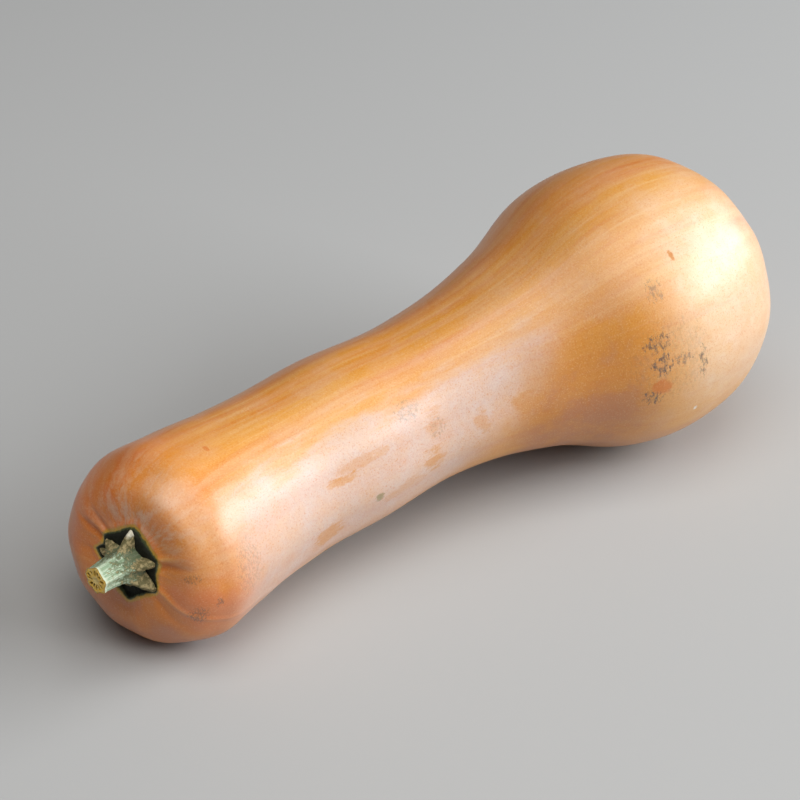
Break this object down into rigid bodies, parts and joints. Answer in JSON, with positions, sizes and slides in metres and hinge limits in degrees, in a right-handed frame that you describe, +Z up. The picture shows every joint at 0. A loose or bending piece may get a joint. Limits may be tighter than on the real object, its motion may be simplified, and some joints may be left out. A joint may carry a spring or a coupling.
{
  "type": "winter squash",
  "caption": "Long-necked winter squash lying on its side: a round bulb, a bowed neck, and a cut, ridged stem in a star-shaped scar.",
  "frame": {"origin": "under the middle of the whole part's box, at the height of the surface that it lies on", "axes": "+X along the fruit from its stem end to its blossom end, +Z up"},
  "size_m": [0.3436, 0.1268, 0.1253],
  "materials": {
    "rind": "satin",
    "stalk": "matte"
  },
  "bodies": {
    "root": {"fruit": "rind", "stem": "stalk"}
  },
  "joints": []
}
